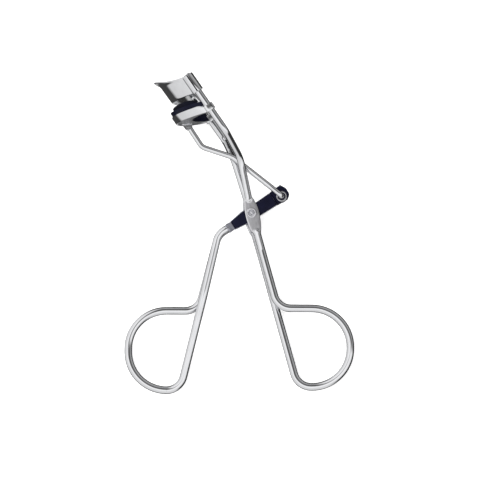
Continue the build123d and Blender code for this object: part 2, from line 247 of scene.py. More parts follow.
def loft_rings(bm, rings, capped=True):
    """Joins closed rings of points with quads and returns the faces ring by ring."""
    verts = [[bm.verts.new(p) for p in ring] for ring in rings]
    count = len(rings[0])
    strips = []
    for low, high in zip(verts, verts[1:]):
        strip = []
        for k in range(count):
            j = (k + 1) % count
            strip.append(bm.faces.new((low[k], low[j], high[j], high[k])))
        strips.append(strip)
    if capped:
        bm.faces.new(verts[0][::-1])
        bm.faces.new(verts[-1])
    return strips


def loft_closed(bm, rings):
    """Joins rings of points that themselves run once round."""
    loft_rings(bm, rings + [rings[0]], capped=False)
    bmesh.ops.remove_doubles(bm, verts=bm.verts, dist=1e-5)


def join_mesh(bm, other):
    """Adds another mesh in progress to this one."""
    made = [bm.verts.new(v.co) for v in other.verts]
    other.verts.index_update()
    for face in other.faces:
        new_face = bm.faces.new([made[v.index] for v in face.verts])
        new_face.material_index = face.material_index
    other.free()


def round_end(distance, size):
    """How much of its radius a wire has at this distance from its rounded end."""
    if distance >= size:
        return 1.0
    return 1 - END_NARROWING * (1 - sqrt(max(0.0, 1 - (1 - distance / size) ** 2)))


def end_stops(path, size):
    """Adds points near both ends of a path, for the rounding there."""
    first = (path[1] - path[0]).normalized()
    last = (path[-2] - path[-1]).normalized()
    first_points = [path[0] + first * size * k for k in END_STOPS]
    last_points = [path[-1] + last * size * k for k in reversed(END_STOPS)]
    return [path[0]] + first_points + path[1:-1] + last_points + [path[-1]]


def round_tube(bm, path, radius, end_size=0.3, sides=WIRE_SIDES):
    """A round wire with rounded ends, carried along without twist."""
    path = end_stops(path, end_size)
    total = lengths(path)
    directions = tangents(path)
    side = directions[0].orthogonal().normalized()
    rings = []
    for point, along, at in zip(path, directions, total):
        side = (side - along * side.dot(along)).normalized()
        other = along.cross(side)
        r = radius * round_end(min(at, total[-1] - at), end_size)
        rings.append([point + (side * cos(a) + other * sin(a)) * r for a in full_circle(sides)])
    loft_rings(bm, rings)


def turned(bm, profile, centre, axis):
    """A solid of revolution from a closed profile of (radius, height) pairs."""
    side = axis.orthogonal().normalized()
    other = axis.cross(side)
    rings = []
    for a in full_circle(ROUND_SIDES):
        out = side * cos(a) + other * sin(a)
        rings.append([centre + out * r + axis * h for r, h in profile])
    loft_closed(bm, rings)


def edge_rounded_slab(bm, outline, place, low, high, edge):
    """A slab with rounded rims: an outline in two coordinates, placed between two levels."""
    count = len(outline)
    middle = Vector((sum(p[0] for p in outline) / count, sum(p[1] for p in outline) / count))
    normals = []
    for i in range(count):
        a = Vector(outline[i - 1])
        b = Vector(outline[(i + 1) % count])
        step = (b - a).normalized()
        normal = Vector((step.y, -step.x))
        if normal.dot(Vector(outline[i]) - middle) < 0:
            normal = -normal
        normals.append(normal)
    rim = [(edge * (1 - sin(a)), edge * (1 - cos(a))) for a in RIM_ANGLES]
    levels = [(inset, low + rise) for inset, rise in rim]
    levels += [(inset, high - rise) for inset, rise in reversed(rim)]
    rings = []
    for inset, level in levels:
        ring = []
        for point, normal in zip(outline, normals):
            q = Vector(point) - normal * inset
            ring.append(place(q.x, q.y, level))
        rings.append(ring)
    loft_rings(bm, rings)


# ---- materials -----------------------------------------------------------------------
def new_material(name):
    """An empty material with its node tree and its shader."""
    material = bpy.data.materials.new(name)
    material.use_nodes = True
    tree = material.node_tree
    return material, tree, tree.nodes["Principled BSDF"]


def noise(tree, scale, detail, stretch=(1, 1, 1), roughness=0.55):
    """A noise pattern in the piece's own metres; scale is in cycles per metre."""
    coords = tree.nodes.new("ShaderNodeTexCoord")
    mapping = tree.nodes.new("ShaderNodeMapping")
    mapping.inputs["Scale"].default_value = stretch
    pattern = tree.nodes.new("ShaderNodeTexNoise")
    pattern.inputs["Scale"].default_value = scale
    pattern.inputs["Detail"].default_value = detail
    pattern.inputs["Roughness"].default_value = roughness
    tree.links.new(coords.outputs["Object"], mapping.inputs["Vector"])
    tree.links.new(mapping.outputs["Vector"], pattern.inputs["Vector"])
    return pattern.outputs["Fac"]


def ramp(tree, factor, stops):
    """A colour ramp from (position, colour) stops; a colour may be one grey number."""
    node = tree.nodes.new("ShaderNodeValToRGB")
    elements = node.color_ramp.elements
    while len(elements) < len(stops):
        elements.new(0.5)
    for element, (position, color) in zip(elements, stops):
        element.position = position
        rgb = color if isinstance(color, tuple) else (color, color, color)
        element.color = (*rgb, 1)
    tree.links.new(factor, node.inputs["Fac"])
    return node.outputs["Color"]


def scaled(tint, share):
    """The same colour, darker or lighter."""
    return tuple(part * share for part in tint)


def add_bump(tree, shader, height, strength, distance):
    """Lets a height pattern tilt the shading; distance is in metres."""
    bump = tree.nodes.new("ShaderNodeBump")
    bump.inputs["Strength"].default_value = strength
    bump.inputs["Distance"].default_value = distance
    tree.links.new(height, bump.inputs["Height"])
    tree.links.new(bump.outputs["Normal"], shader.inputs["Normal"])


def mixed_heights(tree, first, second, share):
    """Two height patterns blended, with the second's share."""
    mix = tree.nodes.new("ShaderNodeMix")
    mix.data_type = "FLOAT"
    mix.inputs["Factor"].default_value = share
    tree.links.new(first, mix.inputs["A"])
    tree.links.new(second, mix.inputs["B"])
    return mix.outputs["Result"]


def plated_metal(name, tint, rough, wave, stretch):
    """Bright plating: fine polishing lines, faint cloudiness and an almost flat skin."""
    material, tree, shader = new_material(name)
    shader.inputs["Metallic"].default_value = 1.0
    cloud = noise(tree, 240, 4)
    colors = [(0.3, scaled(tint, 0.93)), (0.7, tint)]
    tree.links.new(ramp(tree, cloud, colors), shader.inputs["Base Color"])
    lines = noise(tree, 2600, 3, stretch)
    gloss = ramp(tree, lines, [(0.35, rough * 0.75), (0.6, rough), (0.75, rough * 1.9)])
    tree.links.new(gloss, shader.inputs["Roughness"])
    skin = mixed_heights(tree, noise(tree, 130, 2), lines, 0.12)
    add_bump(tree, shader, skin, wave, 0.0002)
    return material


def satin_metal(name, tint, rough, grain, stretch):
    """Blasted or brushed steel with a directional grain and small dents."""
    material, tree, shader = new_material(name)
    shader.inputs["Metallic"].default_value = 1.0
    lines = noise(tree, 1800, 5, stretch)
    colors = [(0.3, scaled(tint, 0.8)), (0.65, tint)]
    tree.links.new(ramp(tree, lines, colors), shader.inputs["Base Color"])
    gloss = ramp(tree, noise(tree, 900, 4), [(0.3, rough * 0.8), (0.7, rough * 1.3)])
    tree.links.new(gloss, shader.inputs["Roughness"])
    dents = mixed_heights(tree, lines, noise(tree, 700, 3), 0.4)
    add_bump(tree, shader, dents, grain, 0.0001)
    return material


def moulded_plastic(name, tint, rough, grain):
    """Dark moulded plastic: a faint spark-eroded texture and slightly uneven gloss."""
    material, tree, shader = new_material(name)
    shader.inputs["Specular IOR Level"].default_value = 0.1
    cloud = noise(tree, 300, 4)
    light = scaled(tint, 1.7)
    tree.links.new(ramp(tree, cloud, [(0.35, tint), (0.8, light)]), shader.inputs["Base Color"])
    skin = noise(tree, 5200, 3)
    gloss = ramp(tree, skin, [(0.3, rough * 0.85), (0.7, rough * 1.2)])
    tree.links.new(gloss, shader.inputs["Roughness"])
    add_bump(tree, shader, skin, grain, 0.00008)
    return material


def soft_rubber(name, tint):
    """Silicone rubber: nearly matt, with a fine dusty grain."""
    material, tree, shader = new_material(name)
    shader.inputs["Specular IOR Level"].default_value = 0.07
    shader.inputs["Sheen Weight"].default_value = 0.01
    shader.inputs["Sheen Roughness"].default_value = 0.5
    grain = noise(tree, 6500, 4, roughness=0.7)
    dust = scaled(tint, 2.2)
    tree.links.new(ramp(tree, grain, [(0.4, tint), (0.85, dust)]), shader.inputs["Base Color"])
    tree.links.new(ramp(tree, grain, [(0.3, 0.5), (0.7, 0.72)]), shader.inputs["Roughness"])
    add_bump(tree, shader, grain, 0.35, 0.0001)
    return material


# a stretch below 1 draws the pattern out along that axis
CHROME_TINT = (0.88, 0.885, 0.905)
wire_chrome = plated_metal("wire_chrome", CHROME_TINT, rough=0.07, wave=0.04, stretch=(1, 0.08, 1))
jaw_chrome = plated_metal("jaw_chrome", CHROME_TINT, rough=0.10, wave=0.14, stretch=(1, 1, 0.12))
coined_steel = satin_metal("coined_steel", (0.66, 0.655, 0.68), rough=0.36, grain=0.35,
                           stretch=(1, 0.3, 1))
turned_steel = plated_metal("turned_steel", (0.80, 0.80, 0.83), rough=0.12, wave=0.12,
                            stretch=(1, 1, 0.2))
satin_steel = satin_metal("satin_steel", (0.66, 0.67, 0.75), rough=0.42, grain=0.3,
                          stretch=(0.3, 1, 1))
black_cover = moulded_plastic("black_cover", (0.0032, 0.0036, 0.0115), rough=0.34, grain=0.22)
black_holder = moulded_plastic("black_holder", (0.0034, 0.004, 0.0115), rough=0.28, grain=0.16)
pad_rubber = soft_rubber("pad_rubber", (0.003, 0.0034, 0.0075))
# a dull dark grey painted into the seam's lap as the shade that falls in the rolled sleeve's slot
painted_seam_shade = satin_metal("painted_seam_shade", (0.035, 0.035, 0.042), rough=0.6, grain=0.2,
                         stretch=(1, 1, 0.3))


# ---- the frame's wire ----------------------------------------------------------------
WIRE_R = 1.27
POST_R = 1.14              # the wire is drawn a little thinner above the neck
STRAND_N = 1.33            # half the distance between a handle's two strands
SKEW = 0.3                 # the near strand lies to the right, the far one to the left
PLATE_N = 2.0
NECK_N = 2.8
POST_N = 13.5              # the uprights, along the jaws' chord
POST_LOW = -6.3            # where they start and end, in the head's s
POST_HIGH = 16.1
POST_END = 0.35            # the rounding of their tips
NEAR_NECK = (-3.6, 17.8)
FAR_NECK = (-5.8, 18.4)
PLATE_TOP = (-1.2, 4.5)
FOOT = (1.35, -6.2)        # the plate's lower end, where the shank starts
THICKEN_Y = 4.0            # the wire thickens from here down
THICKEN_LENGTH = 5.0
RELAX_Y = -12.2            # below the plate, the strands close up to STRAND_N by here
SETTLED_Y = -26.5          # and swap sides from here to the heel
RING_N = 0.4
RING_R = 12.6
CORNER_OUT = 0.2           # the ring's corner points lie this far outside its circle
CORNER_UP = 0.1
RIGHT_HEEL = (15.4, -57.1)
RIGHT_RING = (19.56, -44.1)
LEFT_HEEL = (-23.7, -58.2)
LEFT_RING = (-27.57, -44.65)

# the wire's bends, as radii
POST_BEND = 4.0
NECK_BEND = 7.0
TOP_BEND = 8.0
FOOT_BEND = 6.0
RELAX_BEND = 6.0
CROTCH_BEND = 5.6
HEEL_BEND = 5.8
SETTLED_BEND = 40.0
TANG_BEND = 5.5


def on_line(a, b, y):
    """The x at height y on the line from a to b."""
    share = (y - a[1]) / (b[1] - a[1])
    return a[0] + share * (b[0] - a[0])


def wire_point(x, y, side, n):
    """A point of a strand, moved to its side of the middle line."""
    return Vector((x + side * SKEW, y, n))


def frame_wire_path():
    """One continuous wire: near upright, neck, plate, shank, ring, and back up the far side."""
    crotch_y = RIGHT_RING[1] + RING_R + CORNER_UP
    outer_x = RIGHT_RING[0] + RING_R + CORNER_OUT
    relax_x = on_line(FOOT, RIGHT_HEEL, RELAX_Y)
    points = [
        head(0, POST_N, POST_HIGH),
        head(0, POST_N, POST_LOW),
        Vector((*NEAR_NECK, NECK_N)),
        wire_point(*PLATE_TOP, 1, PLATE_N),
        wire_point(*FOOT, 1, PLATE_N),
        wire_point(relax_x, RELAX_Y, 1, STRAND_N),
        wire_point(on_line(FOOT, RIGHT_HEEL, crotch_y), crotch_y, 1, STRAND_N),
        Vector((outer_x, crotch_y, RING_N)),
        Vector((outer_x, RIGHT_HEEL[1], -RING_N)),
        wire_point(*RIGHT_HEEL, -1, -RING_N),
        wire_point(on_line(FOOT, RIGHT_HEEL, SETTLED_Y), SETTLED_Y, -1, -STRAND_N),
        wire_point(relax_x, RELAX_Y, -1, -STRAND_N),
        wire_point(*FOOT, -1, -PLATE_N),
        wire_point(*PLATE_TOP, -1, -PLATE_N),
        Vector((*FAR_NECK, -NECK_N)),
        head(0, -POST_N, POST_LOW),
        head(0, -POST_N, POST_HIGH),
    ]
    radii = [POST_BEND, NECK_BEND, TOP_BEND, FOOT_BEND, RELAX_BEND, CROTCH_BEND, RING_R, RING_R,
             HEEL_BEND, SETTLED_BEND, RELAX_BEND, FOOT_BEND, TOP_BEND, NECK_BEND, POST_BEND]
    return filleted(points, radii)


# ---- the wire's coined plates --------------------------------------------------------
PLATE_HALF_T = 0.55
PLATE_HALF_W = 2.3
PLATE_REACH = 6.0          # from the plate's middle to each of its points
PLATE_MIDDLE_Y = -0.85
UPPER_LIP = 5.55           # how far from the middle the flat ends at its edges
UPPER_BULGE = 1.15         # and how much sooner it ends in the middle
LOWER_LIP = 5.1
LOWER_BULGE = 0.45
LIP_BLEND = 0.5
PLATE_ZONE = 7.0           # sections within this of the middle can be coined
ZONE_X = 6.0
ZONE_N = 3.0
FINE_STEP = 0.16
FLAT_WEIGHT = 0.96         # a face this fully coined, and this near the flat, takes its finish
FLAT_GAP = 0.06


def coin_weight(d, q):
    """How far the wire is coined flat, d mm up from the plate's middle, q across it.

    The round wire runs out on the flat in a curved lip that reaches further in the middle.
    """
    bulge = 1 - min(1.0, (q / WIRE_R) ** 2)
    if d > 0:
        lip = UPPER_LIP - UPPER_BULGE * bulge
    else:
        lip = LOWER_LIP - LOWER_BULGE * bulge
    return 1 - smooth01((abs(d) - lip + LIP_BLEND / 2) / LIP_BLEND)


def plate_half_width(d, r):
    """The coined plate's outline: a lens that swells out of the wire."""
    if abs(d) >= PLATE_REACH:
        return r
    swell = (1 - (d / PLATE_REACH) ** 2) ** 0.85
    return r + (PLATE_HALF_W - r) * swell


def coined_section(d, r):
    """A cross-section in (across, over), part round wire and part flat plate."""
    half_w = plate_half_width(d, r)
    ring = []
    for a in full_circle(WIRE_SIDES * 2):
        flat_x = half_w * signed_power(cos(a), 0.5)
        flat_z = PLATE_HALF_T * signed_power(sin(a), 0.28)
        weight = coin_weight(d, flat_x)
        round_x = cos(a) * (r + (half_w - r) * 0.8)
        round_z = sin(a) * r
        ring.append((round_x + (flat_x - round_x) * weight, round_z + (flat_z - round_z) * weight))
    return ring


def frame_wire_stations():
    """The frame wire's path, with close stations over the coined plates."""
    path = end_stops(divided(frame_wire_path(), 1.2), POST_END)
    stations = []
    for a, b in zip(path, path[1:]):
        stations.append(a)
        from_middle = min(abs(a.y - PLATE_MIDDLE_Y), abs(b.y - PLATE_MIDDLE_Y))
        if from_middle < PLATE_ZONE + 0.5 and abs(a.z) < ZONE_N:
            count = int((b - a).length / FINE_STEP) + 1
            stations += [a.lerp(b, k / count) for k in range(1, count)]
    stations.append(path[-1])
    return stations


def mark_flats(strips, stations, heights):
    """Gives the coined flats the piece's second material."""
    for strip, point, d in zip(strips, stations, heights):
        if d is None:
            continue
        for face in strip:
            middle = face.calc_center_median()
            off_flat = abs(abs(middle.z - point.z) - PLATE_HALF_T)
            flat = off_flat < FLAT_GAP and coin_weight(d, (middle - point).x) > FLAT_WEIGHT
            face.material_index = 1 if flat else 0


def frame_wire():
    """The frame's whole wire, round but for the two coined plates at the pivot."""
    stations = frame_wire_stations()
    total = lengths(stations)
    bm = bmesh.new()
    rings = []
    heights = []
    for point, along, at in zip(stations, tangents(stations), total):
        over = (N - along * N.dot(along)).normalized()
        across = along.cross(over)
        thick = smooth01((THICKEN_Y - point.y) / THICKEN_LENGTH)
        r = (POST_R + (WIRE_R - POST_R) * thick) * round_end(min(at, total[-1] - at), POST_END)
        d = point.y - PLATE_MIDDLE_Y
        if abs(point.z) < ZONE_N and abs(d) < PLATE_ZONE and abs(point.x) < ZONE_X:
            heights.append(d)
            section = coined_section(d, r)
        else:
            heights.append(None)
            section = [(cos(a) * r, sin(a) * r) for a in full_circle(WIRE_SIDES * 2)]
        rings.append([point + across * q + over * z for q, z in section])
    mark_flats(loft_rings(bm, rings), stations, heights)
    add_piece("frame_wire", bm, "frame",
              ["right_finger_ring", "frame_wire_near", "frame_wire_far"],
              [wire_chrome, coined_steel])


# ---- the lever's wire and the push rod -----------------------------------------------
STRAND_TOP_T = -8.9        # the strands' ends inside the tang
STRAND_BEND_T = -13.0
HOOK_T = 11.3              # the hook and its eyelet, along and across the bar
HOOK_P = -0.6
HOOK_TOP = 2.8             # the hook's leg, from the rod down to the clip
HOOK_BOTTOM = -2.5
ROD_R = 0.9
ROD_KNEE = (-16.25, 22.05, 0)
ROD_ELBOW = (-6.25, 18.8, -0.4)
ROD_LEVEL_LENGTH = 4.2     # the rod's last stretch is level over the knob
EYE_MIDDLE = 0.75          # the rod starts inside the eye's wall
EYE_BORE = 0.56
EYE_R = 1.05
EYE_HALF_T = 0.88


def lever_wire():
    """The lever's wire: out of the tang, down one strand, round the ring, up the other."""
    top = bar(STRAND_BEND_T, 0, 0)
    crotch_y = LEFT_RING[1] + RING_R + CORNER_UP
    outer_x = LEFT_RING[0] - RING_R - CORNER_OUT
    points = [
        bar(STRAND_TOP_T, 0, STRAND_N),
        bar(STRAND_BEND_T, 0, STRAND_N),
        wire_point(on_line(top, LEFT_HEEL, SETTLED_Y), SETTLED_Y, 1, STRAND_N),
        wire_point(*LEFT_HEEL, 1, -RING_N),
        Vector((outer_x, LEFT_HEEL[1], -RING_N)),
        Vector((outer_x, crotch_y, -RING_N)),
        wire_point(on_line(top, LEFT_HEEL, crotch_y), crotch_y, -1, -STRAND_N),
        bar(STRAND_BEND_T, 0, -STRAND_N),
        bar(STRAND_TOP_T, 0, -STRAND_N),
    ]
    radii = [TANG_BEND, SETTLED_BEND, HEEL_BEND, RING_R, RING_R, CROTCH_BEND, TANG_BEND]
    bm = bmesh.new()
    round_tube(bm, divided(filleted(points, radii), 2.0), WIRE_R, sides=40)
    add_piece("lever_wire", bm, "lever",
              ["left_finger_ring", "lever_shank_near", "lever_shank_far"],
              [wire_chrome])


def push_rod():
    """The push rod: a flattened eye on the bracket's pin, a knee, an elbow and the hook."""
    knee = Vector(ROD_KNEE)
    elbow = Vector(ROD_ELBOW)
    hook = bar(HOOK_T, HOOK_P, HOOK_TOP)
    reach = hook - elbow
    reach.z = 0
    level = hook - reach.normalized() * ROD_LEVEL_LENGTH
    start = PIN + (knee - PIN).normalized() * EYE_MIDDLE
    points = [start, knee, elbow, level, hook, bar(HOOK_T, HOOK_P, HOOK_BOTTOM)]
    path = filleted(points, [3.2, 4.5, 12.0, 1.3])
    bm = bmesh.new()
    round_tube(bm, divided(path, 1.6), ROD_R, end_size=0.25)
    corners = [(EYE_BORE, -EYE_HALF_T), (EYE_R, -EYE_HALF_T), (EYE_R, EYE_HALF_T),
               (EYE_BORE, EYE_HALF_T)]
    eye = bmesh.new()
    turned(eye, rounded_profile(corners, 0.14), PIN, N)
    join_mesh(bm, eye)
    add_piece("push_rod_wire", bm, "link", ["push_rod"], [wire_chrome])


# ---- top jaw -------------------------------------------------------------------------
TOP_BULGES = ((7.0, 8.2), (19.0, 8.5), (24.0, 10.2))   # s, and the wall's bulge there
TOP_HALF_CHORD = 13.6
TOP_T = 0.7
TOP_LOW = 8.9              # the wall's lower edge at the uprights, in s
RAKE = 0.38                # how much an edge climbs per mm of bulge
BEAK_EDGE = ((-0.2, 15.7), (5.2, 17.75), (9.3, 21.35))     # the upper edge, in w and s
LIP = 1.25                 # height of the flared lip along the beak's upper edge
LIP_FLARE = 0.42
ROLL = 0.7                 # height of the slightly rolled lower edge
ROLL_DEPTH = 0.1
WALL_END = 0.35            # the wall stops this far inside the half chord
SLEEVE_R = 1.92
SLEEVE_T = 0.68
SLEEVE_S = (9.25, 15.65)
SLEEVE_STEPS = 64
SEAM_START = radians(88)   # the rolled sheet's outer edge, round from the jaw's bulge
SEAM_OPEN = radians(13)
SEAM_STEPS = 6
SEAM_STEP = radians(1.5)   # the lap steps down to the bore this far before SEAM_START
LAP_SHARE = 0.42           # the lap's height within the sheet


def bulge_at(s):
    """How far the top jaw bulges at the height s."""
    last = TOP_BULGES[-1]
    for (s0, w0), (s1, w1) in zip(TOP_BULGES, TOP_BULGES[1:]):
        if s <= s1 or (s1, w1) == last:
            return w0 + (w1 - w0) * (s - s0) / (s1 - s0)


def circle_w(radius, apex, n):
    """The w at n of a circle that bulges out to the apex."""
    return sqrt(max(0.0, radius * radius - n * n)) - (radius - apex)


def arc_w(apex, n):
    """The w at n of the wall's arc, which springs from w = 0 at the half chord."""
    return circle_w((TOP_HALF_CHORD ** 2 + apex ** 2) / (2 * apex), apex, n)


def circle_through(a, b, c):
    """The centre and radius of the circle through three points."""
    d = 2 * (a[0] * (b[1] - c[1]) + b[0] * (c[1] - a[1]) + c[0] * (a[1] - b[1]))
    a2, b2, c2 = [p[0] * p[0] + p[1] * p[1] for p in (a, b, c)]
    x = (a2 * (b[1] - c[1]) + b2 * (c[1] - a[1]) + c2 * (a[1] - b[1])) / d
    y = (a2 * (c[0] - b[0]) + b2 * (a[0] - c[0]) + c2 * (b[0] - a[0])) / d
    return x, y, hypot(a[0] - x, a[1] - y)


BEAK_W, BEAK_S, BEAK_R = circle_through(*BEAK_EDGE)


def beak_height(w):
    """The beak's upper edge: a circle that sags between the sleeve and the tip."""
    return BEAK_S - sqrt(max(0.0, BEAK_R * BEAK_R - (w - BEAK_W) ** 2))


def wall_point(n, share, inset):
    """A point of the wall: n along the chord, share up from its lower to its upper edge.

    Each edge's height depends on the bulge at that height, so both are found in a few rounds.
    """
    low = high = 12.0
    for _ in range(6):
        low = TOP_LOW + RAKE * arc_w(bulge_at(low), n)
        high = beak_height(arc_w(bulge_at(high), n))
    s = low + (high - low) * share
    w = arc_w(bulge_at(s), n)
    out = Vector((w + TOP_HALF_CHORD * 0.55, n)).normalized()
    lip = smooth01(1 - (high - s) / LIP) * LIP_FLARE * smooth01((w - 0.4) / 3)
    roll = smooth01(1 - (s - low) / ROLL) * ROLL_DEPTH
    shift = lip - roll - inset
    return head(w + out.x * shift, n + out.y * shift, s)


def wall_shell(bm):
    """The curved wall as one closed shell with rounded edges."""
    edge = [(0.0, 0.22), (0.012, 0.1), (0.035, 0.02)]
    shares = [0.05] + [0.1 + 0.8 * k / 14 for k in range(15)] + [0.95]
    front = edge + [(share, 0.0) for share in shares]
    front += [(1 - share, inset) for share, inset in reversed(edge)]
    back = [(share, TOP_T - inset) for share, inset in reversed(front)]
    rings = []
    for k in range(73):
        n = sin(pi / 2 * (k / 36 - 1)) * (TOP_HALF_CHORD - WALL_END)
        rings.append([wall_point(n, share, inset) for share, inset in front + back])
    loft_rings(bm, rings)


def sleeve_outline():
    """A rolled sheet in section: its outer edge stops short, over a stepped lap.

    Also returns which of the outline's sides belong to the lap.
    """
    inner = SLEEVE_R - SLEEVE_T
    lap = inner + SLEEVE_T * LAP_SHARE
    sweep = 2 * pi - SEAM_OPEN
    arc = [SEAM_START + sweep * k / SLEEVE_STEPS for k in range(SLEEVE_STEPS + 1)]
    slit = [SEAM_START - SEAM_OPEN + SEAM_OPEN * k / SEAM_STEPS for k in range(SEAM_STEPS)]
    last = SEAM_START - SEAM_STEP
    turns = [(SLEEVE_R, a) for a in arc] + [(lap, a) for a in slit]
    turns += [(lap, last), (inner, last)] + [(inner, a) for a in reversed(arc)]
    outline = [(r * cos(a), r * sin(a)) for r, a in turns]
    return outline, range(SLEEVE_STEPS, SLEEVE_STEPS + SEAM_STEPS + 2)


def sleeve_shell(bm, side):
    """The end of the wall rolled round an upright, with the roll's open seam."""
    outline, lap_sides = sleeve_outline()
    middle_r = SLEEVE_R - SLEEVE_T / 2
    low, high = SLEEVE_S
    rim = [(0.09, 0), (0.03, 0.03), (0, 0.1)]
    levels = [(inset, low + rise) for inset, rise in rim]
    levels += [(inset, high - rise) for inset, rise in reversed(rim)]
    rings = []
    for inset, level in levels:
        ring = []
        for w, n in outline:
            r = hypot(w, n)
            move = inset if r < middle_r else -inset
            scale = (r + move) / r
            ring.append(head(w * scale, side * (POST_N + n * scale), level))
        rings.append(ring)
    # the lap and the sheet's edge in the slot take the second material: dark grey painted as shade
    # in the seam
    for faces in loft_rings(bm, rings):
        for k in [*lap_sides, -1]:
            faces[k].material_index = 1


def top_jaw():
    """The curved wall with its beak, rolled into a sleeve at both ends."""
    bm = bmesh.new()
    wall_shell(bm)
    for side in (-1, 1):
        sleeve = bmesh.new()
        sleeve_shell(sleeve, side)
        join_mesh(bm, sleeve)
    add_piece("top_jaw_shell", bm, "frame", ["top_jaw"],
              [jaw_chrome, painted_seam_shade])


# ---- lower jaw -----------------------------------------------------------------------
BAND_R = 13.7
BAND_APEX = 11.2
BAND_T = 0.5
BAND_LOW = 1.42            # the band's edges at w = 0, in s
BAND_HIGH = 4.15
BAND_WAIST = 0.75          # how much lower its upper edge is near the ears
WAIST_W = 2.0
WAIST_REACH = 2.6
BAND_HALF_SPAN = 13.35
EAR_R = 1.6
EAR_SQUARE = 5             # 2 is a circle, more is squarer
EAR_BORE = 1.23
EAR_S = (1.67, 3.93)
EAR_STEPS = 96
PAD_R = 15.2
PAD_APEX = 8.0
PAD_HALF = 1.3
PAD_HALF_MAX = 1.75        # in w, where the pad runs across the chord
PAD_FIT = 0.985            # the pad is a little narrower than its channel
PAD_BOTTOM = 4.95
PAD_TOP = 7.5
PAD_CROWN = 0.45           # how much lower the pad's edges are than its middle
PAD_DROP = 1.1             # and its ends
PAD_HALF_SPAN = 11.0
PAD_END_START = 9.3        # where along n the pad's ends begin to narrow
PAD_END = 1.75
HOLDER_WALL = 0.7
HOLDER_LOW = 1.75
HOLDER_HIGH = 5.8
CHANNEL_DEPTH = 0.9
CHANNEL_END = 10.6
HOLDER_HALF_SPAN = 11.68
HOLDER_EDGE = 0.16
HOLDER_MIN_W = 0.62        # the holder's inner wall stays this far out at its ends
INNER_LIP = 0.55           # the least width of the channel's two lips
OUTER_LIP = 0.45


def strip(bm, half_span, columns, section):
    """A loft along the chord: section(n) gives a closed ring of (w, s) at each n."""
    rings = []
    for k in range(columns + 1):
        n = half_span * sin(pi / 2 * (2 * k / columns - 1))
        rings.append([head(w, n, s) for w, s in section(n)])
    loft_rings(bm, rings)


def band_section(n):
    """The carrier's band: thin, raked, and narrower towards its ears."""
    w = circle_w(BAND_R, BAND_APEX, n)
    waist = smooth01(1 - abs(w - WAIST_W) / WAIST_REACH)
    low = BAND_LOW + RAKE * w
    high = BAND_HIGH + RAKE * w - BAND_WAIST * waist
    slope = hypot(w + BAND_R - BAND_APEX, n) / max(1.0, w + BAND_R - BAND_APEX)
    thick = min(BAND_T * slope, 2.2)
    corners = [(w - thick, low), (w, low), (w, high), (w - thick, high)]
    return rounded_profile(corners, 0.14, steps=3)


def ear_ring(bm, side):
    """A folded ear round an upright: round in its bore, squared outside."""
    low, high = EAR_S
    corners = [(EAR_BORE, low), (EAR_R, low), (EAR_R, high), (EAR_BORE, high)]
    profile = rounded_profile(corners, 0.1)
    rings = []
    for a in full_circle(EAR_STEPS):
        square = (abs(cos(a)) ** EAR_SQUARE + abs(sin(a)) ** EAR_SQUARE) ** (-1 / EAR_SQUARE)
        ring = []
        for r, s in profile:
            outward = (r - EAR_BORE) / (EAR_R - EAR_BORE)
            r = r * (1 + (square - 1) * outward)
            ring.append(head(r * cos(a), side * POST_N + r * sin(a), s))
        rings.append(ring)
    loft_closed(bm, rings)


def jaw_carrier():
    """The lower jaw's steel band with an ear round each upright."""
    bm = bmesh.new()
    strip(bm, BAND_HALF_SPAN, 72, band_section)
    for side in (-1, 1):
        ear = bmesh.new()
        ear_ring(ear, side)
        join_mesh(bm, ear)
    add_piece("jaw_carrier_band", bm, "lower_jaw", ["jaw_carrier"], [jaw_chrome])


def holder_section(n):
    """The holder: rounded outer rim, and a channel for the pad between two lips."""
    w_out = circle_w(BAND_R - BAND_T, BAND_APEX - BAND_T, n)
    w_in = circle_w(PAD_R - PAD_HALF - HOLDER_WALL, PAD_APEX - PAD_HALF - HOLDER_WALL, n)
    w_in = max(w_in, HOLDER_MIN_W)
    pad_out = circle_w(PAD_R + PAD_HALF, PAD_APEX + PAD_HALF, n)
    pad_out = min(pad_out, w_out - OUTER_LIP)
    pad_in = circle_w(PAD_R - PAD_HALF, PAD_APEX - PAD_HALF, n)
    pad_in = max(pad_in, w_in + INNER_LIP)
    channel = HOLDER_HIGH - CHANNEL_DEPTH * smooth01((CHANNEL_END - abs(n)) / 0.7)
    corners = [
        (w_in, HOLDER_LOW), (w_out, HOLDER_LOW), (w_out, HOLDER_HIGH), (pad_out, HOLDER_HIGH),
        (pad_out, channel), (pad_in, channel), (pad_in, HOLDER_HIGH), (w_in, HOLDER_HIGH),
    ]
    return [(w, s + RAKE * w) for w, s in corners]


def pad_holder():
    """The black channel that holds the pad, with all of its edges rounded."""
    bm = bmesh.new()
    strip(bm, HOLDER_HALF_SPAN, 64, holder_section)
    crease = [e for e in bm.edges if e.calc_face_angle(0) > radians(35)]
    bmesh.ops.bevel(bm, geom=crease, offset=HOLDER_EDGE, segments=3, affect="EDGES",
                    profile=0.5, clamp_overlap=True)
    add_piece("pad_holder_moulding", bm, "lower_jaw", ["pad_holder"],
              [black_holder])


def pad_section(n):
    """The rubber pad: flat sides, a crowned top, and ends that narrow and drop."""
    end = min(1.0, max(0.0, (abs(n) - PAD_END_START) / PAD_END))
    narrow = sqrt(max(0.02, 1 - end ** 2))
    centre = circle_w(PAD_R, PAD_APEX, n)
    slope = hypot(centre + PAD_R - PAD_APEX, n) / (centre + PAD_R - PAD_APEX)
    half = min(PAD_HALF * slope, PAD_HALF_MAX) * narrow * PAD_FIT
    ring = []
    for a in full_circle(40):
        q = half * signed_power(cos(a), 0.45)
        s = PAD_BOTTOM
        if sin(a) > 0:
            s = PAD_TOP - PAD_CROWN * (abs(q) / half) ** 3 - PAD_DROP * end ** 2
        ring.append((centre + q, s + RAKE * (centre + q)))
    return ring


def lash_pad():
    """The replaceable rubber strip."""
    bm = bmesh.new()
    strip(bm, PAD_HALF_SPAN, 72, pad_section)
    add_piece("lash_pad_rubber", bm, "lower_jaw", ["lash_pad"], [pad_rubber])


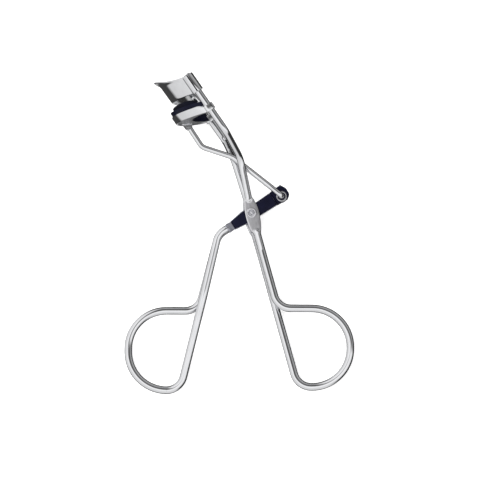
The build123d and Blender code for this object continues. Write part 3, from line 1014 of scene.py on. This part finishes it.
# ---- lever ---------------------------------------------------------------------------
COVER_START = 0.61         # the cover's scales start here, just outside the steel core
BAR_HALF_T = 1.3
COVER_OUTLINE = [(-7.33, -1.48), (-2.5, -2.05), (8.55, -2.1), (8.55, 2.5), (-2.5, 1.98),
                 (-7.33, 1.33)]
COVER_ROUNDING = [0.2, 3.0, 0.12, 0.12, 3.0, 0.2]
KNOB_HALF_T = 1.55
KNOB_OUTLINE = [(8.63, -2.15), (12.6, -2.36), (13.9, -1.3), (14.0, 0.9), (12.9, 2.9), (8.63, 2.55)]
KNOB_ROUNDING = [0.1, 0.8, 0.8, 1.9, 0.35, 0.1]
EYELET_BORE = 1.3
EYELET_R = 1.56
FLANGE_R = 1.72
FLANGE_LOW = 1.5           # the flange, in mm from the bar's middle
FLANGE_HIGH = 1.74
TANG_START_T = -7.37
TANG_LENGTH = 2.31
TANG_STEPS = 14
TANG_HALF_N = (1.28, 2.68)     # half its thickness at the bar and at the wires
TANG_HALF_P = (1.42, 1.48)     # half its width there
TANG_EDGE = 0.1


def bar_place(side):
    """How a slab's points are placed along the bar, on its near side (1) or far side (-1)."""
    return lambda t, p, level: bar(t, p, side * level)


def lever_cover():
    """Both moulded scales of the cover, with softened rims."""
    outline = filled_outline(COVER_OUTLINE, COVER_ROUNDING, longest=0.6)
    bm = bmesh.new()
    for side in (-1, 1):
        scale = bmesh.new()
        edge_rounded_slab(scale, outline, bar_place(side), COVER_START, BAR_HALF_T, 0.16)
        join_mesh(bm, scale)
    add_piece("lever_cover", bm, "lever", ["lever_cover_near", "lever_cover_far"],
              [black_cover])


def lever_knob():
    """The rounded end piece, in line with the cover and a little thicker."""
    outline = filled_outline(KNOB_OUTLINE, KNOB_ROUNDING, longest=0.5)
    bm = bmesh.new()
    edge_rounded_slab(bm, outline, bar_place(1), -KNOB_HALF_T, KNOB_HALF_T, 0.34)
    add_piece("lever_knob_moulding", bm, "lever", ["lever_knob"], [black_cover])


def hook_eyelet():
    """The rolled steel eyelet in the knob."""
    corners = [(EYELET_BORE, -FLANGE_HIGH), (FLANGE_R, -FLANGE_HIGH), (FLANGE_R, -FLANGE_LOW),
               (EYELET_R, -FLANGE_LOW), (EYELET_R, FLANGE_LOW), (FLANGE_R, FLANGE_LOW),
               (FLANGE_R, FLANGE_HIGH), (EYELET_BORE, FLANGE_HIGH)]
    profile = rounded_profile(corners, [0.07, 0.07, 0.0, 0.0, 0.0, 0.0, 0.07, 0.07])
    bm = bmesh.new()
    turned(bm, profile, bar(HOOK_T, HOOK_P, 0), N)
    add_piece("hook_eyelet_ring", bm, "lever", ["hook_eyelet"], [turned_steel])


def lever_tang():
    """The pressed steel ferrule: a wedge with soft corners between the bar and the wires."""
    bar_n, wire_n = TANG_HALF_N
    bar_p, wire_p = TANG_HALF_P
    rings = []
    for k in range(TANG_STEPS + 1):
        share = k / TANG_STEPS
        t = TANG_START_T - TANG_LENGTH * share
        inset = 0.0 if 0 < k < TANG_STEPS else TANG_EDGE
        narrow = 1 - 0.35 * smooth01((share - 0.7) / 0.3) ** 2
        half_n = bar_n + (wire_n - bar_n) * smooth01(share) - inset
        half_p = (bar_p + (wire_p - bar_p) * share) * narrow - inset
        rings.append([bar(t, half_p * signed_power(cos(a), 0.42),
                          half_n * signed_power(sin(a), 0.42)) for a in full_circle(48)])
    bm = bmesh.new()
    loft_rings(bm, rings)
    add_piece("lever_tang_ferrule", bm, "lever", ["lever_tang"], [satin_steel])


# ---- pivot ---------------------------------------------------------------------------
RIVET_FACE = 2.55          # the outer face of the plates, from the bar's middle
SHAFT_R = 0.98
FAR_HEAD_R = 1.53
FAR_HEAD_H = 0.7
RIM_R = 1.74               # the near head's rolled rim
RIM_ROLL = 0.42
RIM_LIFT = 0.16
RIM_STRETCH = 1.15
# the near head's low boss, as radius and height over the face
BOSS = [(0.88, 0.06), (0.8, 0.01), (0.7, 0.04), (0.62, 0.22), (0.5, 0.46), (0.32, 0.6),
        (0.14, 0.65), (0.0, 0.66)]


def pivot_rivet():
    """The rivet: a near head rolled over into a ring round a low boss, and a domed far head."""
    profile = [(FAR_HEAD_R * sin(a), -RIVET_FACE - 0.02 - FAR_HEAD_H * cos(a))
               for a in [radians(6 * k) for k in range(16)]]
    profile += [(FAR_HEAD_R, -RIVET_FACE - 0.005), (SHAFT_R, -RIVET_FACE)]
    profile += [(SHAFT_R, RIVET_FACE), (RIM_R - 0.04, RIVET_FACE + 0.005)]
    roll = [(RIM_ROLL * cos(a), RIM_ROLL * RIM_STRETCH * sin(a))
            for a in [radians(15 * k) for k in range(12)]]
    profile += [(RIM_R - RIM_ROLL + r, RIVET_FACE + RIM_LIFT + h) for r, h in roll]
    profile += [(r, RIVET_FACE + h) for r, h in BOSS]
    other = N.cross(X_AXIS)
    rings = []
    for r, h in profile:
        r = max(r, 0.002)
        rings.append([(X_AXIS * cos(a) + other * sin(a)) * r + N * h
                      for a in full_circle(ROUND_SIDES)])
    bm = bmesh.new()
    loft_rings(bm, rings)
    add_piece("pivot_rivet_turned", bm, "frame", ["pivot_rivet"],
              [turned_steel])


# ---- the object ----------------------------------------------------------------------
frame_wire()
top_jaw()
pivot_rivet()
lever_wire()
lever_tang()
lever_cover()
lever_knob()
hook_eyelet()
jaw_carrier()
pad_holder()
lash_pad()
push_rod()

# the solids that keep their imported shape
CAD_FINISHES = {
    "pivot_washer_near": turned_steel,
    "pivot_washer_far": turned_steel,
    "pivot_bush": turned_steel,
    "lever_core": satin_steel,
    "link_bracket": jaw_chrome,
    "bracket_pin": turned_steel,
    "hook_clip": turned_steel,
}
for node, finish in CAD_FINISHES.items():
    mesh = frame["nodes"][node].data
    mesh.materials.clear()
    mesh.materials.append(finish)


# ---- floor and light -----------------------------------------------------------------
def make_floor():
    """A plain pale sheet of paper that the chrome doesn't mirror."""
    bm = bmesh.new()
    bmesh.ops.create_grid(bm, x_segments=1, y_segments=1, size=4)
    mesh = bpy.data.meshes.new("floor")
    bm.to_mesh(mesh)
    bm.free()
    floor = bpy.data.objects.new("floor", mesh)
    bpy.context.scene.collection.objects.link(floor)
    material, tree, shader = new_material("floor_paper")
    paper = noise(tree, 35, 3)
    tree.links.new(ramp(tree, paper, [(0.3, 0.955), (0.7, 0.965)]), shader.inputs["Base Color"])
    shader.inputs["Roughness"].default_value = 0.9
    shader.inputs["Specular IOR Level"].default_value = 0.1
    shader.inputs["Emission Color"].default_value = (1, 1, 1, 1)
    shader.inputs["Emission Strength"].default_value = 0.35
    mesh.materials.append(material)
    floor.visible_glossy = False


def soft_light(name, place, aim, size, watts):
    """A round area light that the chrome doesn't mirror."""
    data = bpy.data.lights.new(name, "AREA")
    data.shape = "DISK"
    data.size = size
    data.energy = watts
    light = bpy.data.objects.new(name, data)
    bpy.context.scene.collection.objects.link(light)
    light.location = place
    light.rotation_mode = "QUATERNION"
    light.rotation_quaternion = (place - aim).to_track_quat("Z", "Y")
    light.visible_glossy = False


# ---- the room that the chrome mirrors ------------------------------------------------
# grey by height, from 0, straight down, through 0.5, the horizon, to 1, straight up
LEFT_ROOM = [(0.0, 0.6), (0.012, 0.06), (0.18, 0.05), (0.25, 0.7), (0.6, 0.78), (0.8, 0.82),
             (0.9, 0.98)]
RIGHT_ROOM = [(0.0, 0.8), (0.04, 0.7), (0.08, 0.04), (0.55, 0.03), (0.64, 0.75), (0.8, 0.95)]
RIGHT_WAY = (0.86, 0.51, 0)
RIGHT_SIDE = (-0.12, 0.3)          # where the right room starts, and where it takes over
# the dark patch of ceiling: where it starts and where it is full, along each axis
PATCH_X = (-0.3, -0.02)
PATCH_Y = (-0.17, 0.0)
PATCH_Z = (0.2, 0.35)
PATCH_WAY = (0.6, 0.8, 0)
DARK_CEILING = [(0.0, 0.11), (0.28, 0.06), (0.45, 0.2), (0.7, 0.32), (0.9, 0.42)]


def band(tree, value, low, high):
    """Rises smoothly from 0 to 1 as the value goes from low to high."""
    node = tree.nodes.new("ShaderNodeMapRange")
    node.interpolation_type = "SMOOTHSTEP"
    node.inputs["From Min"].default_value = low
    node.inputs["From Max"].default_value = high
    tree.links.new(value, node.inputs["Value"])
    return node.outputs["Result"]


def along_way(tree, direction, way):
    """How far a direction points the given way."""
    node = tree.nodes.new("ShaderNodeVectorMath")
    node.operation = "DOT_PRODUCT"
    node.inputs[1].default_value = way
    tree.links.new(direction, node.inputs[0])
    return node.outputs["Value"]


def product(tree, first, second):
    """Two values multiplied."""
    node = tree.nodes.new("ShaderNodeMath")
    node.operation = "MULTIPLY"
    tree.links.new(first, node.inputs[0])
    tree.links.new(second, node.inputs[1])
    return node.outputs[0]


def mixed_color(tree, share, first, second):
    """Two colours blended, with the second's share."""
    node = tree.nodes.new("ShaderNodeMix")
    node.data_type = "RGBA"
    tree.links.new(share, node.inputs["Factor"])
    tree.links.new(first, node.inputs[6])
    tree.links.new(second, node.inputs[7])
    return node.outputs[2]


def make_world():
    """A soft room in two halves, with dark bands that draw the chrome's stripes and edges."""
    world = bpy.data.worlds.new("studio")
    bpy.context.scene.world = world
    world.use_nodes = True
    tree = world.node_tree
    direction = tree.nodes.new("ShaderNodeTexCoord").outputs["Generated"]
    split = tree.nodes.new("ShaderNodeSeparateXYZ")
    tree.links.new(direction, split.inputs["Vector"])
    height = tree.nodes.new("ShaderNodeMapRange")
    height.inputs["From Min"].default_value = -1.0
    tree.links.new(split.outputs["Z"], height.inputs["Value"])
    left = ramp(tree, height.outputs["Result"], LEFT_ROOM)
    right = ramp(tree, height.outputs["Result"], RIGHT_ROOM)
    right_share = band(tree, along_way(tree, direction, RIGHT_WAY), *RIGHT_SIDE)
    room = mixed_color(tree, right_share, left, right)
    patch = product(tree, band(tree, split.outputs["Y"], *PATCH_Y),
                    band(tree, split.outputs["X"], *PATCH_X))
    patch = product(tree, patch, band(tree, split.outputs["Z"], *PATCH_Z))
    ceiling = ramp(tree, along_way(tree, direction, PATCH_WAY), DARK_CEILING)
    background = tree.nodes["Background"]
    tree.links.new(mixed_color(tree, patch, room, ceiling), background.inputs["Color"])
    background.inputs["Strength"].default_value = 1.0


make_world()
soft_light("overhead", Vector((-0.25, -0.15, 0.9)), Vector((0, 0, 0)), 1.2, 10.0)
make_floor()
bpy.context.scene.view_settings.view_transform = "Standard"
